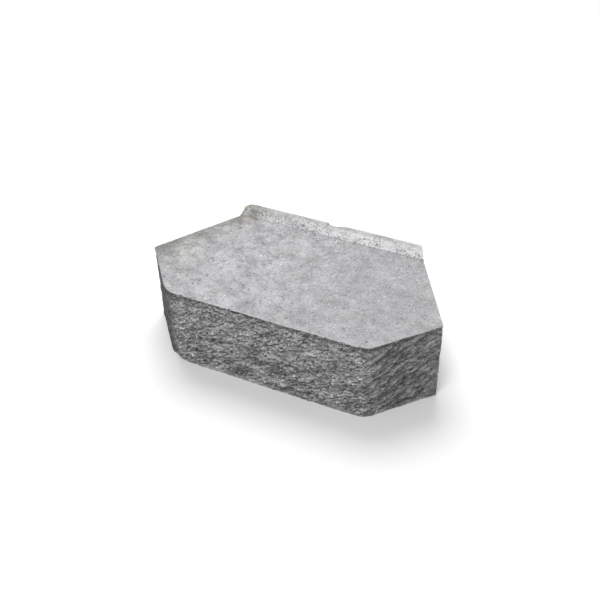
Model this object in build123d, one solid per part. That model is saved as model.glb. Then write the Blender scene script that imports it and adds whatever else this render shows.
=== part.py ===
from build123d import *
import os
from math import hypot

# A dry-cast concrete block for low garden retaining walls, lying lip-up on its flat base.
# In plan it is a hexagon: a split front of three facets, two tapered moulded sides and a back.
# A low lip stands up along the whole back edge, and hooks behind the next course.
#
# The block is one casting. Its solids are the zones that have their own name, finish and job:
# the moulded body, the rear lip, and the layer behind each facet of the split front.
# They meet face to face, with no overlap and no gap.
#
# Frame: millimetres, origin under the middle of the block, +X along the wall,
# -Y out of the split front, +Z up.

# driving dimensions
apex_width = 372.0       # across the two side apexes, before they are rounded
depth = 195.0            # centre facet to back face
course_height = 102.0    # base to bearing face, one nominal 4 inch course
face_width = 250.0       # centre facet, before its corners are rounded
apex_setback = 71.5      # from the centre facet back to the side apexes
back_width = 231.0       # back face, between the ends of the tapered sides
corner_radius = 30.0     # between the centre facet and each side facet
apex_radius = 3.0        # where a side facet meets a moulded side
split_layer = 14.0       # thickness of the zone behind each split facet

lip_height = 11.0        # above the bearing face
lip_top_width = 9.0      # flat top, front to back
lip_foot_width = 16.0    # where its sloping front meets the bearing face
lip_root_drop = 3.0      # how far its root falls from that line to the back face

concrete_density = 2200.0    # kg/m3, dense dry-cast concrete

# plan, seen from above
front_y = -depth / 2
back_y = depth / 2
apex_y = front_y + apex_setback
front_corner = (face_width / 2, front_y)
apex = (apex_width / 2, apex_y)
back_corner = (back_width / 2, back_y)


def mirrored(point):
    """The same point on the other side of the middle plane."""
    return (-point[0], point[1])


def crossing(a, b, c, d):
    """Where the line through a and b meets the line through c and d."""
    ab = (b[0] - a[0], b[1] - a[1])
    cd = (d[0] - c[0], d[1] - c[1])
    ac = (c[0] - a[0], c[1] - a[1])
    share = (ac[0] * cd[1] - ac[1] * cd[0]) / (ab[0] * cd[1] - ab[1] * cd[0])
    return (a[0] + share * ab[0], a[1] + share * ab[1])


def moved_inside(a, b, distance):
    """The line from a to b, moved to its left, which is inside for a facet taken anticlockwise."""
    length = hypot(b[0] - a[0], b[1] - a[1])
    left = (-(b[1] - a[1]) / length * distance, (b[0] - a[0]) / length * distance)
    return (a[0] + left[0], a[1] + left[1]), (b[0] + left[0], b[1] + left[1])


# corners of the moulded body, one split layer inside the facets
side_facet_back = moved_inside(front_corner, apex, split_layer)
centre_facet_back = moved_inside(mirrored(front_corner), front_corner, split_layer)
body_corner = crossing(*centre_facet_back, *side_facet_back)
body_apex = crossing(apex, back_corner, *side_facet_back)

# the lip's root, as (Y, Z)
lip_foot = (back_y - lip_foot_width, course_height)
lip_root_end = (back_y, course_height - lip_root_drop)


def prism(points, height):
    """An upright prism on the base plane."""
    return extrude(make_face(Polyline(*points, close=True)), height)


def whole_outline(height):
    """The full hexagon with its rounded front corners and apexes."""
    right = [front_corner, apex, back_corner]
    left = [mirrored(point) for point in reversed(right)]
    plan = make_face(Polyline(*right, *left, close=True))
    plan = fillet(plan.vertices().sort_by(Axis.Y)[2:4], apex_radius)
    plan = fillet(plan.vertices().sort_by(Axis.Y)[:2], corner_radius)
    return extrude(plan, height)


def rear_bar(section):
    """A bar along X over the block's full width, from its (Y, Z) section."""
    return extrude(Plane.YZ * make_face(Polyline(*section, close=True)), apex_width / 2, both=True)


def block_body():
    """The moulded bulk: base, bearing face, tapered sides and back."""
    right = [body_corner, body_apex, back_corner]
    left = [mirrored(point) for point in reversed(right)]
    root = [lip_foot, (back_y, course_height), lip_root_end]
    return prism(right + left, course_height) - rear_bar(root)


def split_face_center(outline):
    """The layer behind the broad centre facet, out to the middle of each rounded corner."""
    layer = [mirrored(body_corner), mirrored(front_corner), front_corner, body_corner]
    return outline & prism(layer, course_height)


def split_face_side(outline, side):
    """The layer behind one side facet; side is +1 on the +X side and -1 on the other."""
    layer = [body_corner, front_corner, apex, body_apex]
    return outline & prism([(side * x, y) for x, y in layer], course_height)


def rear_lip():
    """The low lip on the back edge, with a sloping front and ends in line with the sides.

    Its root is the plane that it breaks along when it is knocked off.
    """
    top = course_height + lip_height
    section = [lip_foot, lip_root_end, (back_y, top), (back_y - lip_top_width, top)]
    return rear_bar(section) & whole_outline(top)


def main():
    outline = whole_outline(course_height)
    nodes = {
        "block_body": block_body(),
        "rear_lip": rear_lip(),
        "split_face_center": split_face_center(outline),
        "split_face_left": split_face_side(outline, -1),
        "split_face_right": split_face_side(outline, 1),
    }
    os.makedirs("parts", exist_ok=True)
    for name, solid in nodes.items():
        export_step(solid, f"parts/{name}.step")
    volume = sum(solid.volume for solid in nodes.values())
    print(f"{volume / 1e6:.3f} litres, {volume * 1e-9 * concrete_density:.2f} kg")


main()
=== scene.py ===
from math import atan2, cos, radians, sin
import bmesh
import bpy
import numpy as np
from mathutils import Matrix, Vector


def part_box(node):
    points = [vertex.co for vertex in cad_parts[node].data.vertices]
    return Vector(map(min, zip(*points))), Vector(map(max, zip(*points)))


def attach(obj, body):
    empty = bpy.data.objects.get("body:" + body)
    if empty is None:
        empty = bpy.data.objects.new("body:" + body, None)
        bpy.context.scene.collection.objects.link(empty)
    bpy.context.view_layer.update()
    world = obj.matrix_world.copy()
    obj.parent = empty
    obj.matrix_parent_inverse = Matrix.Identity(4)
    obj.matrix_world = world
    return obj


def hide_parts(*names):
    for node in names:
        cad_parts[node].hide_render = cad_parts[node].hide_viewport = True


# A dry-cast retaining wall block, lip up. One dense mesh of the whole block is broken and pitted
# by rule, then cut along the frame's inner planes into one piece for each zone of the casting.

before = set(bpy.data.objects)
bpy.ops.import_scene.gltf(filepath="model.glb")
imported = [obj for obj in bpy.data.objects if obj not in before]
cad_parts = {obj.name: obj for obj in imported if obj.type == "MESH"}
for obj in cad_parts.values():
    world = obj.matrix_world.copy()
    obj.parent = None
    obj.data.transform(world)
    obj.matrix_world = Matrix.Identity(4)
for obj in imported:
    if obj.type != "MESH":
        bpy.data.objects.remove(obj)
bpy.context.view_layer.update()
mm = 0.001
touching = 0.01 * mm              # nearer than this counts as on a plane or a point

blockNodes = ["block_body", "split_face_center", "split_face_left", "split_face_right"]
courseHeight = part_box("block_body")[1].z          # base to bearing face
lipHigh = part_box("rear_lip")[1]


class Sock:
    # one output socket of a node tree, so that sums are written as sums
    def __init__(self, tree, socket):
        self.tree = tree
        self.socket = socket

    def __add__(self, other):
        return calc("ADD", self, other)

    def __radd__(self, other):
        return calc("ADD", other, self)

    def __sub__(self, other):
        return calc("SUBTRACT", self, other)

    def __rsub__(self, other):
        return calc("SUBTRACT", other, self)

    def __mul__(self, other):
        return calc("MULTIPLY", self, other)

    def __rmul__(self, other):
        return calc("MULTIPLY", other, self)

    def __truediv__(self, other):
        return calc("DIVIDE", self, other)

    def __getitem__(self, key):
        return Sock(self.tree, findSocket(self.socket.node.outputs, key))


def findSocket(sockets, key):
    if isinstance(key, int):
        return sockets[key]
    return next(s for s in sockets if key in (s.identifier, s.name) and s.enabled)


def makeNode(tree, kind, settings=None, sockets=None):
    # settings first, because they decide which sockets a node has
    node = tree.nodes.new(kind)
    for name, value in (settings or {}).items():
        setattr(node, name, value)
    for key, value in (sockets or {}).items():
        target = findSocket(node.inputs, key)
        if isinstance(value, Sock):
            tree.links.new(value.socket, target)
        else:
            target.default_value = value
    return Sock(tree, node.outputs[0]) if len(node.outputs) else None


def calc(operation, *values):
    tree = next(v.tree for v in values if isinstance(v, Sock))
    return makeNode(tree, "ShaderNodeMath", {"operation": operation}, dict(enumerate(values)))


def most(a, b):
    return calc("MAXIMUM", a, b)


def least(a, b):
    return calc("MINIMUM", a, b)


def vec(operation, *values):
    # numbers and triples go in as they are; Scale takes its factor last
    tree = next(v.tree for v in values if isinstance(v, Sock))
    sockets = dict(enumerate(values))
    if operation == "SCALE":
        sockets = {0: values[0], "Scale": values[1]}
    result = makeNode(tree, "ShaderNodeVectorMath", {"operation": operation}, sockets)
    return result["Value"] if operation in ("DOT_PRODUCT", "LENGTH", "DISTANCE") else result


def ease(value, low, high, start=0.0, end=1.0):
    # start at low and before it, end at high and past it, smooth between; low may be the larger
    return makeNode(value.tree, "ShaderNodeMapRange", {"interpolation_type": "SMOOTHSTEP"},
                    {"Value": value, "From Min": low, "From Max": high, "To Min": start, "To Max": end})


def blend(first, second, share):
    # from the first colour to the second
    return makeNode(share.tree, "ShaderNodeMix", {"data_type": "RGBA"},
                    {"Factor": share, "A": first, "B": second})["Result"]


def combine(tree, x, y, z):
    return makeNode(tree, "ShaderNodeCombineXYZ", None, {"X": x, "Y": y, "Z": z})


def separate(vector):
    parts = makeNode(vector.tree, "ShaderNodeSeparateXYZ", None, {"Vector": vector})
    return parts["X"], parts["Y"], parts["Z"]


def noise(vector, size, detail=2.0, roughness=0.5):
    # size is the width of one blob, in metres
    return makeNode(vector.tree, "ShaderNodeTexNoise", None,
                    {"Vector": vector, "Scale": 1 / size, "Detail": detail, "Roughness": roughness})


def wobble(vector, size, detail=1.0):
    # a noise in three directions, from about -0.5 to 0.5 in each
    return vec("SUBTRACT", noise(vector, size, detail)["Color"], (0.5, 0.5, 0.5))


def dots(place, size, reach, share):
    # round spots in a share of the cells: size is a cell's width, reach the spots' radius over it
    cell = makeNode(place.tree, "ShaderNodeTexVoronoi", {"feature": "F1"},
                    {"Vector": place, "Scale": 1 / size})
    chosen = ease(separate(cell["Color"])[0], share, share - 0.06)
    return ease(cell["Distance"], reach, reach * 0.35) * chosen


def meshObject(name, mesh):
    made = bpy.data.objects.new(name, mesh)
    bpy.context.scene.collection.objects.link(made)
    return made


def bakedMesh(source, name):
    # what the modifiers make of an object, as a plain mesh
    graph = bpy.context.evaluated_depsgraph_get()
    mesh = bpy.data.meshes.new_from_object(source.evaluated_get(graph))
    mesh.name = name
    return mesh


def discard(thing):
    mesh = thing.data
    bpy.data.objects.remove(thing)
    bpy.data.meshes.remove(mesh)


def points(mesh):
    row = np.zeros(len(mesh.vertices) * 3, np.float32)
    mesh.vertices.foreach_get("co", row)
    return row.reshape(-1, 3).astype(float)


def triangles(mesh):
    return sum(len(p.vertices) - 2 for p in mesh.polygons)


# camera, floor and light

stage = {
    "lens": 54.4,                   # mm
    "sensor": 36.0,                 # mm
    "azimuth": 26.6,                # degrees, 0 looks along +Y
    "elevation": 37.3,
    "roll": -1.2,
    "distance": 1.107,              # metres
    "aim": (-0.0065, 0.0123, 0.05),   # from the middle of the block's base, metres
    "floorSize": 3.0,
    "floorColour": 0.86,
    "floorRoughness": 0.9,
    "skyLight": 0.42,               # what the sky gives the block
    "skySeen": 1.0,                 # what the camera sees of it past the floor
    "lamps": {                      # name: watts, size and place in metres
        "backLeft": (72.0, 2.0, (-0.95, 1.35, 3.0)),
        "overFront": (29.5, 0.9, (0.12, -1.0, 2.6)),
    },
}


def makeLamp(name, power, size, place):
    panel = bpy.data.lights.new(name, "AREA")
    panel.shape = "DISK"
    panel.size = size
    panel.energy = power
    lamp = bpy.data.objects.new(name, panel)
    place = Vector(place)
    turn = (-place).to_track_quat("-Z", "Y").to_matrix()         # it looks at the block
    lamp.matrix_world = Matrix.Translation(place) @ turn.to_4x4()
    bpy.context.scene.collection.objects.link(lamp)


def makeCamera():
    azimuth, elevation = radians(stage["azimuth"]), radians(stage["elevation"])
    back = Vector((sin(azimuth) * cos(elevation), -cos(azimuth) * cos(elevation), sin(elevation)))
    lens = bpy.data.cameras.new("camera")
    lens.lens = stage["lens"]
    lens.sensor_width = stage["sensor"]
    lens.clip_start = 0.05
    camera = bpy.data.objects.new("camera", lens)
    bpy.context.scene.collection.objects.link(camera)
    turn = (-back).to_track_quat("-Z", "Y").to_matrix() @ Matrix.Rotation(radians(stage["roll"]), 3, "Z")
    place = Vector(stage["aim"]) + back * stage["distance"]
    camera.matrix_world = Matrix.Translation(place) @ turn.to_4x4()
    bpy.context.scene.camera = camera


def makeFloor():
    half = stage["floorSize"] / 2
    floorMesh = bpy.data.meshes.new("floor")
    corners = [(-half, -half, 0), (half, -half, 0), (half, half, 0), (-half, half, 0)]
    floorMesh.from_pydata(corners, [], [(0, 1, 2, 3)])
    floor = meshObject("floor", floorMesh)
    paint = bpy.data.materials.new("floorPaint")
    paint.use_nodes = True
    shader = paint.node_tree.nodes["Principled BSDF"]
    shader.inputs["Base Color"].default_value = (*[stage["floorColour"]] * 3, 1)
    shader.inputs["Roughness"].default_value = stage["floorRoughness"]
    floorMesh.materials.append(paint)


def makeSky():
    sky = bpy.data.worlds.new("sky")
    sky.use_nodes = True
    seen = makeNode(sky.node_tree, "ShaderNodeLightPath")["Is Camera Ray"]
    strength = seen * (stage["skySeen"] - stage["skyLight"]) + stage["skyLight"]
    background = sky.node_tree.nodes["Background"]
    background.inputs["Color"].default_value = (1, 1, 1, 1)
    sky.node_tree.links.new(strength.socket, background.inputs["Strength"])
    bpy.context.scene.world = sky


def makeStage():
    makeCamera()
    makeFloor()
    makeSky()
    for name, (power, size, place) in stage["lamps"].items():
        makeLamp(name, power, size, place)
    bpy.context.scene.view_settings.view_transform = "Standard"
    print("stage ready")


# the whole block as one dense, smooth mesh

fineness = 0.65 * mm     # width of one face of the dense mesh
cove = 1.5 * mm                   # the small round-in between the bearing face and the lip
coveSteps = [(1.0, 0.3), (0.6, 0.6), (0.3, 1.0)]     # width and height of its wedges, over the cove


def hull(mesh, corners):
    # adds the closed convex shell round some points
    verts = [mesh.verts.new(c) for c in corners]
    made = bmesh.ops.convex_hull(mesh, input=verts)
    loose = {v for v in made["geom_interior"] + made["geom_unused"] if isinstance(v, bmesh.types.BMVert)}
    bmesh.ops.delete(mesh, geom=list(loose), context="VERTS")


def cadCorners(node):
    return [v.co.copy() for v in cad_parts[node].data.vertices]


def planOutline():
    # the block's plan as a ring of points, anticlockwise, from the CAD nodes' base
    base = [c.xy for node in blockNodes for c in cadCorners(node) if abs(c.z) < touching]
    mesh = bmesh.new()
    hull(mesh, [(x, y, z) for x, y in base for z in (0, courseHeight)])
    ring = [v.co.xy for v in mesh.verts if v.co.z < touching]
    mesh.free()
    middle = sum(ring, Vector((0, 0))) / len(ring)
    return sorted(ring, key=lambda p: atan2(p.y - middle.y, p.x - middle.x))


def lipFoot():
    # the two ends of the line where the lip's front meets the bearing face
    level = [c for c in cadCorners("rear_lip") if abs(c.z - courseHeight) < touching]
    frontY = min(c.y for c in level)
    row = [c for c in level if c.y < frontY + touching]
    return min(row, key=lambda c: c.x), max(row, key=lambda c: c.x)


def denseBlock(outline):
    mesh = bmesh.new()
    hull(mesh, [(p.x, p.y, z) for p in outline for z in (0, courseHeight)])
    hull(mesh, cadCorners("rear_lip"))
    for wide, tall in coveSteps:
        # a thin wedge along the lip's foot, its section as (y, z) from there
        section = ((-wide * cove, -mm), (-wide * cove, 0.0), (tall * cove, tall * cove), (2 * mm, -mm))
        hull(mesh, [end + Vector((0, y, z)) for end in lipFoot() for y, z in section])
    bmesh.ops.recalc_face_normals(mesh, faces=mesh.faces)
    coarse = bpy.data.meshes.new("coarse")
    mesh.to_mesh(coarse)
    mesh.free()
    solid = meshObject("solid", coarse)
    remesh = solid.modifiers.new("remesh", "REMESH")
    remesh.mode = "VOXEL"
    remesh.voxel_size = fineness
    remesh.use_smooth_shade = True
    dense = bakedMesh(solid, "dense")
    discard(solid)
    print("dense block:", len(dense.vertices), "vertices")
    return meshObject("wholeBlock", dense)


def splitFront(outline):
    # the front as a straight, an arc and a straight on each side, measured off the outline
    frontY = min(p.y for p in outline)
    right = [p for p in outline if p.x > 0]
    arcStart = max((p for p in right if p.y < frontY + touching), key=lambda p: p.x)
    runs = list(zip(right, right[1:]))
    arcEnd, nearApex = max((r for r in runs if r[0].y < r[1].y and r[0].x < r[1].x),
                           key=lambda r: (r[1] - r[0]).length)
    along = (nearApex - arcEnd).normalized()
    turn = atan2(along.y, along.x)
    radius = (arcEnd - arcStart).length / (2 * sin(turn / 2))
    reach = arcStart.x + radius * turn + (nearApex - arcEnd).length
    return {"frontY": frontY, "arcX": arcStart.x, "radius": radius, "turn": turn, "arcEnd": arcEnd,
            "along": along, "reach": reach}


def frontCoordinates(mesh, front):
    # stores for each vertex how far along the split front it is, how deep behind it and which way is
    # in, all worked out on the right half and mirrored, and how far it is from a moulded edge
    p = points(mesh)
    side = np.where(p[:, 0] < 0, -1.0, 1.0)
    x, y = abs(p[:, 0]), p[:, 1]
    radius, turn = front["radius"], front["turn"]
    outX, outY = x - front["arcX"], front["frontY"] + radius - y
    angle = np.clip(np.arctan2(outX, outY), 0, turn)
    onArc = (outX > 0) & (angle < turn)
    onSide = (outX > 0) & (angle >= turn)
    flatDepth = y - front["frontY"]
    arcDepth = radius - np.hypot(outX, outY)
    wx, wy = x - front["arcEnd"].x, y - front["arcEnd"].y
    dx, dy = front["along"]
    sideDepth = -wx * dy + wy * dx
    depth = np.where(onSide, sideDepth, np.where(onArc, arcDepth, flatDepth))
    run = np.where(onSide, front["arcX"] + radius * turn + wx * dx + wy * dy,
                   np.where(onArc, front["arcX"] + radius * angle, x))
    lean = np.where(onSide, turn, np.where(onArc, angle, 0))
    inward = np.stack([-np.sin(lean) * side, np.cos(lean), np.zeros(len(p))], 1)
    for name, kind, key, values in (("along", "FLOAT", "value", run * side),
                                    ("depth", "FLOAT", "value", depth),
                                    ("edge", "FLOAT", "value", edgeDistance(p)),
                                    ("inward", "FLOAT_VECTOR", "vector", inward)):
        layer = mesh.attributes.new(name, kind, "POINT")
        layer.data.foreach_set(key, values.astype(np.float32).ravel())


def facePlanes(node):
    # the flat faces of a CAD node, as outward normals and reaches, each only once
    planes = []
    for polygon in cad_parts[node].data.polygons:
        out = Vector(polygon.normal)
        if polygon.area > 1e-7 and all((out - other).length > 0.02 for other, _ in planes):
            planes.append((out, out.dot(Vector(polygon.center))))
    return planes


def edgeDistance(p):
    # how far each vertex is from the nearest moulded edge of the block or of its lip
    back, down, up = Vector((0, 1, 0)), Vector((0, 0, -1)), Vector((0, 0, 1))
    lip = [(n, r) for n, r in facePlanes("rear_lip") if n.z > -0.1]       # all but its hidden root
    sides = [(n, r) for n, r in lip if abs(n.x) > 0.5 and abs(n.z) < 0.1]
    body = sides + [(back, lipHigh.y), (down, 0.0), (up, courseHeight)]
    gaps = []
    for planes in (body, lip):
        # an edge is where two planes meet, so it is as far as the second nearest plane
        each = np.stack([abs(p @ np.array(n) - r) for n, r in planes])
        gaps.append(np.sort(each, axis=0)[1])
    nearLip = (p[:, 2] > courseHeight - 6 * mm) & (p[:, 1] > lipFoot()[0].y - 0.5 * mm)
    return np.where(nearLip, gaps[1], gaps[0])


# relief: the break of the split front, the skin of the moulded faces, the rough lip

relief = {
    "Course Height": courseHeight,
    "Rim Depth": 0.4 * mm,         # of the break behind the frame's smooth face, at the top edge
    "Foot Depth": 1.4 * mm,        # the same at the bottom edge
    "Face Depth": 2.9 * mm,        # the same away from the edges
    "Rim Band": 6.0 * mm,
    "Swell": 3.0 * mm,             # broad unevenness of the whole break
    "Rolls": 11.5 * mm,            # short rolls of torn mortar
    "Ridges": 14.0 * mm,           # the longer ones of the side breaks
    "Flake Tilt": 2.4 * mm,
    "Flake Step": 0.5 * mm,
    "Grit": 5.0 * mm,
    "Pockets": 2.4 * mm,           # where a stone was pulled out
    "Under Rim": 2.0 * mm,         # hollows torn out close below the top edge
    "Rim Calm": 0.06,              # share of the relief left at the top edge
    "Rim Chips": 1.3 * mm,
    "Corner Chip": 3.5 * mm,       # at the left front corner's foot
    "Fade": 11.0 * mm,             # how deep behind the front the relief still shifts the faces
    "Skin": 0.3 * mm,              # slight wave of the moulded faces
    "Pit Depth": 0.9 * mm,
    "Edge Wear": 0.45 * mm,
    "Edge Chips": 1.6 * mm,
    "Lip Rough": 3.0 * mm,         # loose crumbs
    "Lip Holes": 0.7 * mm,
    "Lip Nick": 3.2 * mm,
    "Nick Place": -6.0 * mm,       # its steep end, across the block
    "Seed": 3.7,
}
reliefWidths = {                   # of one blob, flake or pit of each pattern
    "bend": 9.0 * mm,              # bends the break's other patterns
    "swell": 50.0 * mm,
    "flakes": 5.0 * mm,
    "rolls": 8.0 * mm,
    "ridges": 9.0 * mm,
    "grit": 2.4 * mm,
    "pockets": 5.0 * mm,
    "underRim": 4.5 * mm,
    "rimChips": 7.0 * mm,
    "wave": 26.0 * mm,
    "ragged": 1.6 * mm,            # breaks up the outlines of pits and holes
    "pits": 8.0 * mm,
    "smallPits": 3.6 * mm,
    "edgeWear": 7.0 * mm,
    "edgeChips": 16.0 * mm,
    "lipPatches": 11.0 * mm,
    "lipCrumbs": 3.0 * mm,
    "lipHoles": 3.4 * mm,
}
bendReach = 5.0 * mm               # how far the bend moves a pattern
raggedReach = 2.4 * mm
rollStretch = 1.9                  # length of a streak over its width
ridgeStretch = 3.4
chipLean = radians(18)             # how steeply the streaks climb to the right
ridgeLean = radians(28)            # the same on the side breaks
sideGritLoss = 0.3                 # share of the grit that the side breaks lack
sideRollLoss = 0.6                 # and of the rolls
calmBand = 9 * mm                  # below the top edge
footCalm = 0.3                     # share of the relief left at the bottom edge
leftCalm = 0.4                     # and on the left break
leftBand = 20 * mm                 # over which it falls to that
apexCalm = 0.4                     # and at the side apexes
apexBand = 14 * mm
cornerSpread = 17 * mm
leastDepth = 0.1 * mm
leastDepthBlend = 0.6 * mm


def attribute(tree, name, kind="FLOAT"):
    node = makeNode(tree, "GeometryNodeInputNamedAttribute", {"data_type": kind}, {"Name": name})
    return node["Attribute"]


def keep(tree, geometry, name, value):
    return makeNode(tree, "GeometryNodeStoreNamedAttribute", {"data_type": "FLOAT", "domain": "POINT"},
                    {"Geometry": geometry, "Name": name, "Value": value})


def newTree(name, inputs):
    tree = bpy.data.node_groups.new(name, "GeometryNodeTree")
    tree.interface.new_socket("Geometry", in_out="INPUT", socket_type="NodeSocketGeometry")
    tree.interface.new_socket("Geometry", in_out="OUTPUT", socket_type="NodeSocketGeometry")
    for label, kind in inputs:
        tree.interface.new_socket(label, in_out="INPUT", socket_type=kind)
    return tree, makeNode(tree, "NodeGroupInput")


def endTree(tree, geometry, finish):
    geometry = makeNode(tree, "GeometryNodeRealizeInstances", None, {"Geometry": geometry})
    geometry = makeNode(tree, "GeometryNodeSetMaterial", None,
                        {"Geometry": geometry, "Material": finish})
    makeNode(tree, "NodeGroupOutput", None, {"Geometry": geometry})
    return tree


def useTree(target, tree, values):
    modifier = target.modifiers.new(tree.name, "NODES")
    modifier.node_group = tree
    for item in tree.interface.items_tree:
        if item.in_out == "INPUT" and item.name in values:
            modifier[item.identifier] = values[item.name]


def leaning(place, stretch, lean):
    # the same place turned in the face and drawn out, so that a pattern on it runs in streaks
    turned = makeNode(place.tree, "ShaderNodeVectorRotate", {"rotation_type": "Y_AXIS"},
                      {"Vector": place, "Angle": lean})
    return vec("MULTIPLY", turned, (1 / stretch, 1.0, 1.0))


def flakes(place, size, tilt, step):
    # flat flakes of one size, each tilted its own way: what a break through stony mortar leaves;
    # also a tone for each flake
    scaled = vec("SCALE", place, 1 / size)
    cell = makeNode(place.tree, "ShaderNodeTexVoronoi", {"feature": "SMOOTH_F1"},
                    {"Vector": scaled, "Scale": 1.0, "Smoothness": 0.5})
    own = vec("SUBTRACT", cell["Color"], (0.5, 0.5, 0.5))
    local = vec("SUBTRACT", scaled, cell["Position"])
    return vec("DOT_PRODUCT", own, local) * tilt + separate(own)[0] * step, separate(cell["Color"])[1]


def breakDepth(tree, given, along, z):
    # how far the broken face lies behind the frame's smooth one, each chip's own tone, and the pockets
    widths = reliefWidths
    face = combine(tree, along, given["Seed"], z)
    bent = vec("ADD", face, vec("SCALE", wobble(face, widths["bend"], 2.0), bendReach))
    streak, ridged = leaning(bent, rollStretch, chipLean), leaning(bent, ridgeStretch, ridgeLean)
    run = calc("ABSOLUTE", along)
    side = ease(run, given["Side From"], given["Side To"])
    swell = (noise(face, widths["swell"], 1.0) - 0.5) * given["Swell"]
    flake, tone = flakes(streak, widths["flakes"], given["Flake Tilt"], given["Flake Step"])
    rolls = (noise(streak, widths["rolls"], 3.0, 0.6) - 0.5) * given["Rolls"]
    ridges = (noise(ridged, widths["ridges"], 3.0, 0.55) - 0.5) * given["Ridges"]
    grit = (noise(streak, widths["grit"], 3.0, 0.65) - 0.5) * given["Grit"]
    grit = grit * (1 - side * sideGritLoss)
    pocket = ease(noise(streak, widths["pockets"], 3.0, 0.6), 0.6, 0.7)
    large = rolls * (1 - side * sideRollLoss) + ridges * side

    # the mean depth, and how much of the relief is left towards each edge
    below = given["Course Height"] - z
    rim = ease(below, 0.0, given["Rim Band"])
    foot = ease(z, 0.0, given["Rim Band"], footCalm, 1.0)
    calm = ease(below, 0.0, calmBand, given["Rim Calm"], 1.0) * foot
    left = ease(along + given["Side From"], 0.0, -leftBand, 1.0, leftCalm)
    apex = ease(given["Apex Place"] - run, 0.0, apexBand, apexCalm, 1.0)
    mean = given["Rim Depth"] + (given["Face Depth"] - given["Rim Depth"]) * rim
    mean = mean - (given["Face Depth"] - given["Foot Depth"]) * ease(z, given["Rim Band"], 0.0)

    # chips along the top edge and at the left front corner, and hollows just below the edge
    chance = ease(noise(face, widths["rimChips"], 3.0, 0.6), 0.56, 0.68)
    nibble = chance * given["Rim Chips"] * (1 - rim)
    spot = combine(tree, along + given["Chip Place"], 0.0, z)
    corner = ease(vec("LENGTH", spot), cornerSpread, 0.2 * cornerSpread) * given["Corner Chip"]
    hidden = ease(below, 0.6 * mm, 2.2 * mm) * ease(below, 8 * mm, 4 * mm)
    under = ease(noise(streak, widths["underRim"], 3.0, 0.6), 0.5, 0.62) * hidden
    sunk = pocket * rim * given["Pockets"] + under * given["Under Rim"]
    rough = (swell + large + flake) * calm + grit * least(ease(rim, 0.0, 1.0, 0.15, 1.0), foot)
    depth = (mean + rough * left) * apex + (sunk + nibble) * left + corner
    return calc("SMOOTH_MAX", depth, leastDepth, leastDepthBlend), tone, most(pocket * rim, under)


def skinDepth(given, position, ragged, edge, onLip):
    # a slight wave, scattered pits, worn and chipped edges; also the pits by themselves
    widths = reliefWidths
    wave = noise(position, widths["wave"], 4.0, 0.6) * given["Skin"]
    small = dots(ragged, widths["smallPits"], 0.3, 0.25) * 0.7
    pit = most(dots(ragged, widths["pits"], 0.2, 0.5), small)
    worn = noise(position, widths["edgeWear"], 3.0)
    wear = ease(edge, 2.2 * mm, 0.1 * mm) * given["Edge Wear"] * worn
    chance = ease(noise(position, widths["edgeChips"], 4.0, 0.6), 0.57, 0.7) * (1 - onLip * 0.6)
    wear = wear + ease(edge, 3.6 * mm, 0.4 * mm) * chance * given["Edge Chips"]
    return wave + pit * given["Pit Depth"] + wear, pit


def lipFacing(position, normal):
    # full on the lip's rough sloping front, and in patches elsewhere
    facing = ease(vec("DOT_PRODUCT", normal, (0, -1, 0)), 0.1, 0.7)
    patches = ease(noise(position, reliefWidths["lipPatches"], 4.0, 0.7), 0.48, 0.6)
    return most(facing, patches * 0.7)


def lipDepth(given, position, ragged, facing):
    # loose crumbs, and holes between them
    crumb = most(noise(position, reliefWidths["lipCrumbs"], 3.0, 0.7) - 0.42, 0.0) * given["Lip Rough"]
    hole = ease(noise(ragged, reliefWidths["lipHoles"], 1.0), 0.62, 0.7) * facing * given["Lip Holes"]
    return crumb * (0.2 + 0.8 * facing) + hole


def nickDepth(given, x, y, onLip):
    # a piece out of the lip's top at the back, steep at one end and running out at the other
    past = x - given["Nick Place"]
    nick = ease(past, -1.0 * mm, 1.0 * mm) * ease(past, 28 * mm, 5.0 * mm)
    return nick * ease(y, lipHigh.y - 8 * mm, lipHigh.y - 2 * mm) * onLip * given["Lip Nick"]


def keepBends(tree, geometry, position, normal):
    # hollows lie behind their surroundings, ridges stand proud of them; the finish paints shade into the
    # hollows and light onto the ridges by these
    for name, rounds, full in (("hollow", 5, 0.35 * mm), ("dip", 28, 1.3 * mm)):
        around = makeNode(tree, "GeometryNodeBlurAttribute", {"data_type": "FLOAT_VECTOR"},
                          {"Value": position, "Iterations": rounds})
        behind = vec("DOT_PRODUCT", vec("SUBTRACT", around, position), normal)
        geometry = keep(tree, geometry, name, behind / full)
    return geometry


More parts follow.
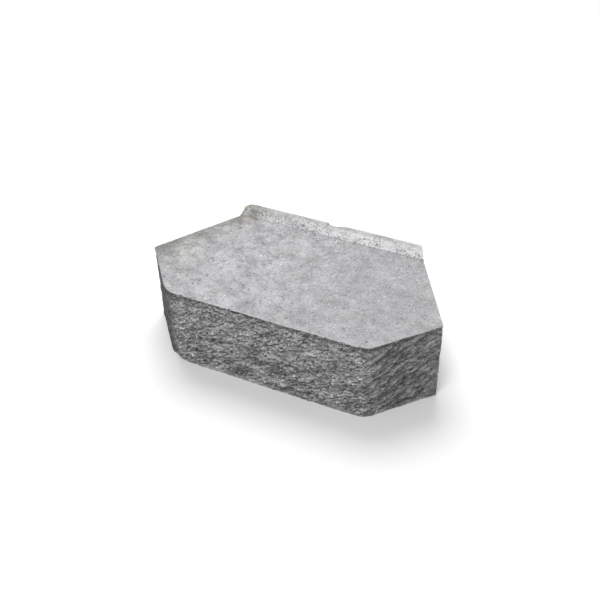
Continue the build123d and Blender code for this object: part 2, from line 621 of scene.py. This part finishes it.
def reliefTree():
    inputs = [(name, "NodeSocketFloat") for name in relief]
    inputs += [(name, "NodeSocketFloat") for name in ("Side From", "Side To", "Chip Place", "Apex Place")]
    tree, given = newTree("relief", inputs + [("Finish", "NodeSocketMaterial")])
    position = makeNode(tree, "GeometryNodeInputPosition")
    normal = makeNode(tree, "GeometryNodeInputNormal")
    x, y, z = separate(position)
    along, depth, edge = [attribute(tree, name) for name in ("along", "depth", "edge")]
    inward = attribute(tree, "inward", "FLOAT_VECTOR")

    # the break moves inwards, and what lies close behind it moves with it
    height, tone, pocket = breakDepth(tree, given, along, z)
    broken = ease(depth, 1.5 * mm, 0.5 * mm) * ease(vec("DOT_PRODUCT", normal, inward), -0.35, -0.7)
    shift = vec("SCALE", inward, height * ease(depth, given["Fade"], 0.0))

    # every other face moves inwards along its own normal
    onLip = ease(z, given["Course Height"] + 0.3 * mm, given["Course Height"] + 1.4 * mm)
    ragged = vec("ADD", position, vec("SCALE", wobble(position, reliefWidths["ragged"]), raggedReach))
    facing = lipFacing(position, normal)
    worn, pit = skinDepth(given, position, ragged, edge, onLip)
    skin = vec("SCALE", normal, (worn + lipDepth(given, position, ragged, facing) * onLip) * (broken - 1))
    drop = combine(tree, 0.0, 0.0, nickDepth(given, x, y, onLip) * -1)

    offset = vec("ADD", vec("ADD", shift, skin), drop)
    moved = makeNode(tree, "GeometryNodeSetPosition", None,
                     {"Geometry": given["Geometry"], "Offset": offset})
    # pit marks the pits, pockets and hollows below the top edge, which the finish paints dark as shade
    for name, value in (("broken", broken), ("crumbly", onLip * facing), ("chip", tone),
                        ("pit", pit * (1 - broken) + pocket * broken)):
        moved = keep(tree, moved, name, value)
    moved = keepBends(tree, moved, position, normal)
    # how much each face looks up: the finish paints light onto the break's ledges and shade onto the
    # lip's top by it
    moved = keep(tree, moved, "ledge", separate(normal)[2])
    return endTree(tree, moved, given["Finish"])


# the cut into zones

def prismPlanes(outline):
    # outward normal and reach of each wall, the base and the top
    walls = []
    for a, b in zip(outline, outline[1:] + outline[:1]):
        out = Vector((b.y - a.y, a.x - b.x, 0)).normalized()
        walls.append((out, out.dot(Vector((a.x, a.y, 0)))))
    return walls + [(Vector((0, 0, -1)), 0.0), (Vector((0, 0, 1)), courseHeight)]


def innerPlanes(node, outline):
    # the planes where a zone meets its neighbours inside the casting, which lie off the outer walls
    walls = prismPlanes(outline)
    found = []
    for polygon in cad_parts[node].data.polygons:
        centre, out = Vector(polygon.center), Vector(polygon.normal)
        if polygon.area < 1e-6 or any(n.dot(centre) > reach - 0.5 * mm for n, reach in walls):
            continue
        if all((out - other).length > 0.01 for other, _ in found):
            found.append((out, centre))
    return found


def cutter(node, outline):
    # a big block, trimmed by the zone's inner planes only
    mesh = bmesh.new()
    bmesh.ops.create_cube(mesh, size=1.0)
    for out, spot in innerPlanes(node, outline):
        geometry = mesh.verts[:] + mesh.edges[:] + mesh.faces[:]
        cut = bmesh.ops.bisect_plane(mesh, geom=geometry, plane_co=spot, plane_no=out, clear_outer=True)
        rim = [e for e in cut["geom_cut"] if isinstance(e, bmesh.types.BMEdge)]
        bmesh.ops.contextual_create(mesh, geom=rim)
    bmesh.ops.recalc_face_normals(mesh, faces=mesh.faces)
    made = bpy.data.meshes.new(node + "Cutter")
    mesh.to_mesh(made)
    mesh.free()
    return meshObject(node + "Cutter", made)


surfaceValues = ("broken", "crumbly", "chip", "pit", "hollow", "dip", "ledge")


def cutTree():
    # keeps the part of the block inside the cutter, with the block's own surface values
    tree, given = newTree("cutZone", [("Cutter", "NodeSocketObject"), ("Finish", "NodeSocketMaterial")])
    other = makeNode(tree, "GeometryNodeObjectInfo", None, {"Object": given["Cutter"]})["Geometry"]
    zone = makeNode(tree, "GeometryNodeMeshBoolean", {"operation": "INTERSECT", "solver": "MANIFOLD"})
    both = findSocket(zone.socket.node.inputs, "Mesh")       # one socket takes both meshes
    for part in (given["Geometry"], other):
        tree.links.new(part.socket, both)
    for name in surfaceValues:
        near = makeNode(tree, "GeometryNodeSampleNearestSurface", {"data_type": "FLOAT"},
                        {"Mesh": given["Geometry"], "Value": attribute(tree, name)})
        zone = keep(tree, zone, name, near)
    return endTree(tree, zone, given["Finish"])


# finish: one concrete, with the look of its moulded skin, of its breaks and of the crumbly lip

looks = {
    "skin": (0.357, 0.358, 0.37),      # linear colours
    "skinWarm": (0.385, 0.38, 0.335),
    "pitDark": (0.10, 0.10, 0.105),
    "speckPale": (0.7, 0.7, 0.7),
    "grime": (0.24, 0.238, 0.23),
    "trail": (0.305, 0.297, 0.283),
    "chalk": (0.52, 0.52, 0.52),
    "chipDark": (0.13, 0.132, 0.136),
    "chipPale": (0.40, 0.402, 0.406),
    "grainPale": (0.78, 0.77, 0.76),
    "gapDark": (0.085, 0.085, 0.09),
    "fleck": (0.46, 0.30, 0.20),
    "lip": (0.42, 0.42, 0.43),
    "lipPale": (0.93, 0.93, 0.94),
    "lipStain": (0.22, 0.20, 0.13),
    "leftShade": 0.38,                 # painted shade makes the side breaks duller than the middle one
    "rightShade": 0.68,
    "lipTopShade": 0.65,               # and painted shade makes the lip's top duller than its front
    "roughness": 0.9,
    "specular": 0.3,
    "bumpHeight": 0.3 * mm,
}
lookWidths = {                         # of one blob or spot of each pattern
    "cloud": 48.0 * mm,
    "patch": 15.0 * mm,
    "mottle": 4.0 * mm,
    "skinGrain": 1.4 * mm,
    "ragged": 1.6 * mm,
    "trail": 20.0 * mm,
    "chalk": 13.0 * mm,
    "speck": 4.4 * mm,
    "pit": 4.0 * mm,
    "chipGrain": 1.3 * mm,
    "dash": 3.0 * mm,
    "sideDash": 4.0 * mm,
    "chipPatch": 14.0 * mm,
    "glint": 2.4 * mm,
    "gap": 4.5 * mm,
    "fleck": 15.0 * mm,
    "lipGrain": 2.0 * mm,
    "lipPatch": 16.0 * mm,
    "lipStain": 5.0 * mm,
}
across = {                             # where a change across the block starts and ends, in metres
    "warm": (-0.09, -0.16),
    "chalk": (0.06, -0.06),
    "paleByLip": (-0.06, 0.1),
    "drift": (0.06, -0.1),
    "even": (-0.02, 0.09),
    "sideBreak": (0.118, 0.142),
    "rightShade": (0.112, 0.142),
    "leftShade": (-0.108, -0.136),
    "lipPale": (-0.1, 0.11),
    "lipStain": (-0.075, -0.108),
}
stainDepth = (0.06, 0.09)              # the lip stain starts and ends here, from front to back
elsewhere = (0.3, 0.0, 0.0)            # takes a pattern from another place, so that it is a new one
trailStretch = 2.2                     # length of a streak over its width
dashStretch = 1.8
sideDashStretch = 3.0


def surfaceValue(tree, name):
    return makeNode(tree, "ShaderNodeAttribute", {"attribute_name": name})["Fac"]


def flat(name):
    return (*looks[name], 1)


def skinLook(tree, place, sideGap, apexGap):
    # cloudy cement skin with pale specks and pits painted dark as shade, warmer and dirtier towards the
    # left side
    x, _, z = separate(place)
    widths = lookWidths
    cloud = noise(place, widths["cloud"], 4.0, 0.6) - 0.5
    patch = noise(place, widths["patch"], 8.0, 0.74) - 0.5
    mottle = noise(place, widths["mottle"], 5.0, 0.75) - 0.5
    grain = noise(place, widths["skinGrain"], 2.0, 0.7) - 0.5
    shaken = noise(place, widths["ragged"], 1.0)["Color"]
    ragged = vec("ADD", place, vec("SCALE", shaken, raggedReach))

    warm = ease(x, *across["warm"]) * ease(cloud, -0.1, 0.1)
    colour = blend(flat("skin"), flat("skinWarm"), warm * 0.5)
    trail = noise(leaning(place, trailStretch, 0.0), widths["trail"], 6.0, 0.72)
    colour = blend(colour, flat("trail"), ease(trail, 0.52, 0.64) * 0.4)
    chalk = noise(vec("ADD", place, elsewhere), widths["chalk"], 6.0, 0.8) - grain
    colour = blend(colour, flat("chalk"), ease(chalk, 0.56, 0.76) * ease(x, *across["chalk"], 0.3, 0.85))
    colour = blend(colour, flat("speckPale"), dots(ragged, widths["speck"], 0.25, 0.33) * 0.8)
    pit = most(surfaceValue(tree, "pit"), dots(ragged, widths["pit"], 0.26, 0.34))
    # painted shade in the pits, with dark spots standing in for pits too small to cut
    colour = blend(colour, flat("pitDark"), pit * 0.85)

    # brighter to the left and by the lip, with a painted highlight where the surface stands proud, darker
    # at the left apex, and uneven all over
    drift = ease(x, *across["drift"], 1.01, 1.08) * ease(apexGap, 55 * mm, 12 * mm, 1.0, 0.7)
    byLip = ease(z, courseHeight + 5 * mm, courseHeight + 9 * mm) * ease(x, *across["paleByLip"])
    uneven = (cloud * 0.8 + patch * 1.5 + mottle * 1.2) * ease(x, *across["even"], 1.0, 0.7)
    tone = 1 + uneven + grain * 1.6 + byLip * 0.06
    # painted highlight where the surface stands proud of its surroundings, on edges and pit rims
    worn = ease(surfaceValue(tree, "hollow"), -0.2, -1.2, 1.0, 1.25)
    grime = ease(sideGap + patch * 80 * mm, 29 * mm, 5 * mm)
    grime = grime * ease(z, courseHeight - 9 * mm, courseHeight - mm)
    colour = blend(colour, flat("grime"), grime * 0.85)
    return vec("SCALE", colour, tone * drift * worn), grain * 0.9 + mottle * 0.7 - pit * 0.8


def breakLook(tree, place):
    # chips of stone and torn paste, with painted shade in the hollows, pockets and gaps, painted light on
    # proud ridges and on ledges that look up, painted glints, and painted shade on the side breaks
    x, _, z = separate(place)
    widths = lookWidths
    streak, ridged = leaning(place, dashStretch, chipLean), leaning(place, sideDashStretch, ridgeLean)
    aside = ease(calc("ABSOLUTE", x), *across["sideBreak"])
    grain = (noise(streak, widths["chipGrain"], 3.0, 0.7) - 0.5) * (1 - aside * 0.45)
    dash = (noise(streak, widths["dash"], 3.0, 0.6) - 0.5) * (1 - aside)
    dash = dash + (noise(ridged, widths["sideDash"], 3.0, 0.6) - 0.5) * aside
    patch = noise(streak, widths["chipPatch"], 3.0, 0.6) - 0.5
    share = surfaceValue(tree, "chip") * 0.2 + grain * 1.8 + dash * 1.7 + patch * 1.6
    share = share + ease(z, 30 * mm, 90 * mm, 0.42, 0.47)
    colour = blend(flat("chipDark"), flat("chipPale"), ease(share, 0.0, 1.0))
    # painted glints: pale streaks standing partly for pale grains and partly for light caught on small
    # facets
    glint = noise(streak, widths["glint"], 2.0, 0.6) + patch * 0.4 - aside * 0.04
    colour = blend(colour, flat("grainPale"), ease(glint, 0.62, 0.74) * 0.85)
    # painted shade of small gaps between the chips, where no gap is cut
    gap = noise(streak, widths["gap"], 3.0, 0.6) + patch * 0.3
    colour = blend(colour, flat("gapDark"), ease(gap, 0.4, 0.31) * 0.75)
    colour = blend(colour, flat("fleck"), dots(place, widths["fleck"], 0.14, 0.2) * 0.6)
    # painted shade in the pockets and in the hollows below the top edge
    colour = blend(colour, flat("pitDark"), surfaceValue(tree, "pit") * 0.6)

    # painted shade on the side breaks, darker by their place across the block
    right = ease(x, *across["rightShade"], 1.0, looks["rightShade"])
    left = ease(x, *across["leftShade"], 1.0, looks["leftShade"])
    # painted shade in the hollows and painted light on proud ridges, by how far the surface lies behind
    # its surroundings
    sunk = surfaceValue(tree, "hollow") * 0.2 + surfaceValue(tree, "dip") * 0.6
    # painted light on the ledges, the faces that look up
    ledgeLight = 1 + surfaceValue(tree, "ledge") * 0.4
    paintedShading = ease(sunk, -1.0, 1.0, 1.45, 0.45) * ledgeLight * (right * left)
    return vec("SCALE", colour, paintedShading), grain * 1.6


def lipLook(tree, place):
    # pale and crumbly, with painted shade in its holes and hollows and on its top, brighter towards the
    # right end
    x = separate(place)[0]
    grain = noise(place, lookWidths["lipGrain"], 3.0, 0.75) - 0.5
    patch = noise(place, lookWidths["lipPatch"], 3.0) - 0.5
    share = grain * 2.4 + patch * 1.4 + ease(x, *across["lipPale"]) * 0.37 + 0.47
    colour = blend(flat("lip"), flat("lipPale"), ease(share, 0.0, 1.0))
    # painted shade in the lip's holes and hollows, mixed with its grain
    hollow = surfaceValue(tree, "hollow") - grain * 2.0
    colour = blend(colour, flat("pitDark"), ease(hollow, 0.2, 1.1) * 0.6)
    # painted shade: the lip's faces that look up are darker
    top = ease(surfaceValue(tree, "ledge"), 0.6, 0.95, 1.0, looks["lipTopShade"])
    return vec("SCALE", colour, top), grain * 1.5


def lipStain(place):
    # dirt at the lip's left end, running a little way down the back corner
    x, y, z = separate(place)
    uneven = ease(noise(place, lookWidths["lipStain"], 4.0, 0.7), 0.28, 0.58)
    stain = ease(x, *across["lipStain"]) * ease(y, *stainDepth) * uneven
    return stain * ease(z, courseHeight - 16 * mm, courseHeight - 2 * mm) * 0.54


def concrete(name, outline):
    material = bpy.data.materials.new(name)
    material.use_nodes = True
    tree = material.node_tree
    shader = tree.nodes["Principled BSDF"]
    place = makeNode(tree, "ShaderNodeTexCoord")["Object"]
    leftSide, reach = min(prismPlanes(outline), key=lambda plane: plane[0].x - plane[0].y)
    sideGap = reach - vec("DOT_PRODUCT", place, tuple(leftSide))
    apex = min(outline, key=lambda p: p.x)
    apexGap = vec("DISTANCE", place, (apex.x, apex.y, courseHeight))
    skin, skinGrain = skinLook(tree, place, sideGap, apexGap)
    torn, tornGrain = breakLook(tree, place)
    lip, lipGrain = lipLook(tree, place)
    broken, crumbly = surfaceValue(tree, "broken"), surfaceValue(tree, "crumbly")
    colour = blend(blend(skin, lip, crumbly), torn, broken)
    colour = blend(colour, flat("lipStain"), lipStain(place))
    height = skinGrain * (1 - broken) * (1 - crumbly) + tornGrain * broken + lipGrain * crumbly
    bump = makeNode(tree, "ShaderNodeBump", None,
                    {"Strength": 1.0, "Distance": looks["bumpHeight"], "Height": height})
    tree.links.new(colour.socket, shader.inputs["Base Color"])
    tree.links.new(bump.socket, shader.inputs["Normal"])
    tree.links.new((looks["roughness"] + height * 0.06).socket, shader.inputs["Roughness"])
    shader.inputs["Specular IOR Level"].default_value = looks["specular"]
    return material


# build

zones = {
    "block_body": ("blockBody", "moulded_concrete"),
    "rear_lip": ("rearLip", "lip_concrete"),
    "split_face_center": ("splitFaceCenter", "split_concrete"),
    "split_face_left": ("splitFaceLeft", "split_concrete"),
    "split_face_right": ("splitFaceRight", "split_concrete"),
}
mostFaces = 190000              # triangles in one piece
sharpAngle = radians(60)


def breakBlock(outline, finish):
    # the whole block with its relief, as a plain mesh
    front = splitFront(outline)
    block = denseBlock(outline)
    frontCoordinates(block.data, front)
    arc = front["radius"] * front["turn"]
    places = {"Side From": front["arcX"], "Side To": front["arcX"] + arc,
              "Chip Place": front["arcX"] + arc / 2, "Apex Place": front["reach"], "Finish": finish}
    useTree(block, reliefTree(), relief | places)
    broken = bakedMesh(block, "brokenBlock")
    discard(block)
    print("relief done")
    return meshObject("brokenBlock", broken)


def thin(piece):
    # no piece has more than the most faces
    faces = triangles(piece.data)
    if faces > mostFaces:
        piece.modifiers.new("thin", "DECIMATE").ratio = mostFaces / faces
        thinned = bakedMesh(piece, piece.name)
        piece.modifiers.clear()
        piece.data = thinned
    print(piece.name, faces, "->", triangles(piece.data), "triangles")


def buildBlock():
    outline = planOutline()
    finishes = {slot: concrete(slot, outline) for slot in sorted({slot for _, slot in zones.values()})}
    block = breakBlock(outline, finishes["moulded_concrete"])
    tree = cutTree()
    for node, (name, slot) in zones.items():
        tool = cutter(node, outline)
        useTree(block, tree, {"Cutter": tool, "Finish": finishes[slot]})
        piece = meshObject(name, bakedMesh(block, name))
        block.modifiers.clear()
        discard(tool)
        thin(piece)
        piece.data.set_sharp_from_angle(angle=sharpAngle)
        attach(piece, "root")
        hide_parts(node)
    discard(block)


makeStage()
buildBlock()
